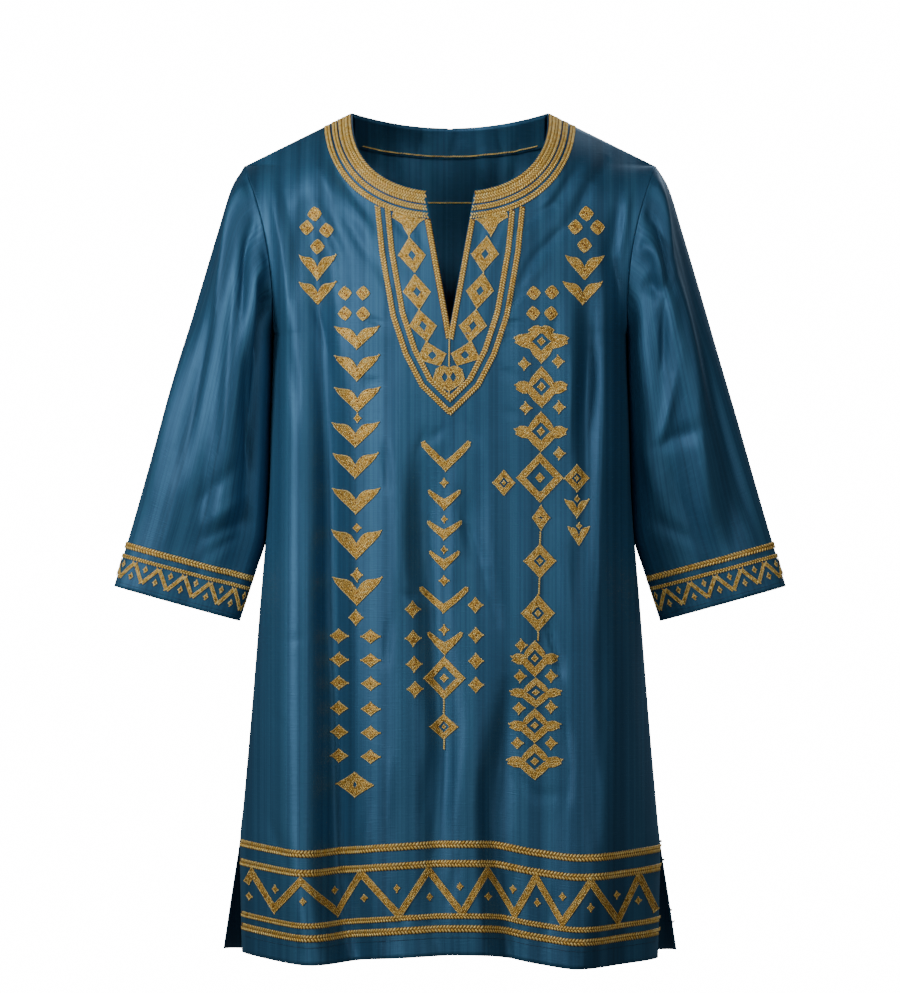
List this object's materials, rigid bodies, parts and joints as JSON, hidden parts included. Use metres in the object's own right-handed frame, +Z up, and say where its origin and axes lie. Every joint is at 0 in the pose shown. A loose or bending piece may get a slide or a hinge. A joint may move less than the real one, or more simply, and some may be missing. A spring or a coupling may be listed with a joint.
{
  "type": "embroidered tunic",
  "caption": "Hollow straight-sleeved silk tunic with a slit round neck, side vents and plaited gold braids along neck, bib, hem and cuffs.",
  "frame": {"origin": "midway between the two highest shoulder points, where the shoulders or a hanger hold the tunic", "axes": "+Z up, the front faces -Y, +X is the side of the wearer's left sleeve"},
  "size_m": [0.672, 0.2443, 0.8494],
  "materials": {
    "silk": "teal blue slubbed silk, satin sheen",
    "facing_silk": "the same silk, wrong side",
    "gold_braid": "plaited metallic gold thread"
  },
  "bodies": {
    "root": {"front": "silk", "back": "silk", "sleeve_left": "silk", "sleeve_right": "silk", "back_facing": "facing_silk", "neck_band_left": "gold_braid", "neck_band_right": "gold_braid", "neck_band_back": "gold_braid", "neck_cord_left": "gold_braid", "neck_cord_right": "gold_braid", "neck_cord_back": "gold_braid", "slit_braid": "gold_braid", "bib_braid_outer": "gold_braid", "bib_braid_inner": "gold_braid", "cuff_braid_wide_left": "gold_braid", "cuff_braid_wide_right": "gold_braid", "cuff_braid_narrow_left": "gold_braid", "cuff_braid_narrow_right": "gold_braid", "hem_braid_front_1": "gold_braid", "hem_braid_front_2": "gold_braid", "hem_braid_front_3": "gold_braid", "hem_braid_front_4": "gold_braid", "hem_braid_back_1": "gold_braid", "hem_braid_back_2": "gold_braid", "hem_braid_back_3": "gold_braid", "hem_braid_back_4": "gold_braid"}
  },
  "joints": []
}
